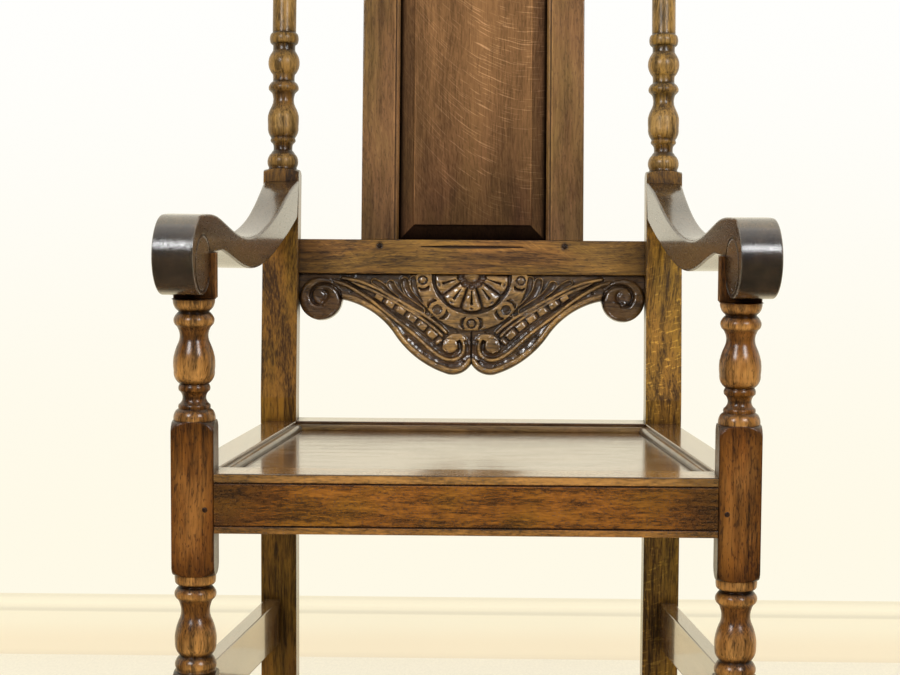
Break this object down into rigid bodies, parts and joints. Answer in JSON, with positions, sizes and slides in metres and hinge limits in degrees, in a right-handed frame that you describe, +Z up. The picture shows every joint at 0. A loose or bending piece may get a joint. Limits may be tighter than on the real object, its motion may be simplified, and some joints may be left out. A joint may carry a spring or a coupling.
{
  "type": "carver chair",
  "caption": "Joined oak carver chair with turned front legs, scrolled arms, recessed wooden seat, raised back panel between stiles and carved scroll boards on the back.",
  "frame": {"origin": "middle of the chair's bounding box in plan, at floor level", "axes": "+Z up; +Y towards the back of the chair, so the sitter faces -Y; +X to the right of someone who looks at the chair's front"},
  "size_m": [0.6386, 0.603, 1.23],
  "materials": {
    "oak_frame": "dark waxed",
    "oak_carved": "dark waxed",
    "oak_board": "dark waxed",
    "oak_hidden": "unpolished",
    "peg_wood": "dark waxed",
    "screw_steel": "dull"
  },
  "bodies": {
    "root": {"front_leg_left": "oak_frame", "front_leg_right": "oak_frame", "back_post_left": "oak_frame", "back_post_right": "oak_frame", "arm_left": "oak_frame", "arm_right": "oak_frame", "front_rail": "oak_frame", "back_rail": "oak_frame", "side_rail_left": "oak_frame", "side_rail_right": "oak_frame", "cross_rail": "oak_frame", "top_rail": "oak_frame", "inner_stile_left": "oak_frame", "inner_stile_right": "oak_frame", "side_stretcher_left": "oak_frame", "side_stretcher_right": "oak_frame", "front_stretcher": "oak_frame", "back_stretcher": "oak_frame", "carved_apron": "oak_carved", "carved_crest": "oak_carved", "seat_board": "oak_board", "back_panel": "oak_board", "seat_moulding_front": "oak_board", "seat_moulding_back": "oak_board", "seat_moulding_left": "oak_board", "seat_moulding_right": "oak_board", "seat_cleat_front": "oak_hidden", "seat_cleat_back": "oak_hidden", "seat_cleat_left": "oak_hidden", "seat_cleat_right": "oak_hidden", "corner_block_front_left": "oak_hidden", "corner_block_front_right": "oak_hidden", "corner_block_back_left": "oak_hidden", "corner_block_back_right": "oak_hidden", "leg_pegs": "peg_wood", "post_pegs": "peg_wood", "frame_pegs": "peg_wood", "stile_pegs": "peg_wood", "arm_pegs": "peg_wood", "stretcher_pegs": "peg_wood", "apron_dowels": "peg_wood", "crest_dowels": "peg_wood", "cleat_screws": "screw_steel", "corner_screws": "screw_steel"}
  },
  "joints": []
}
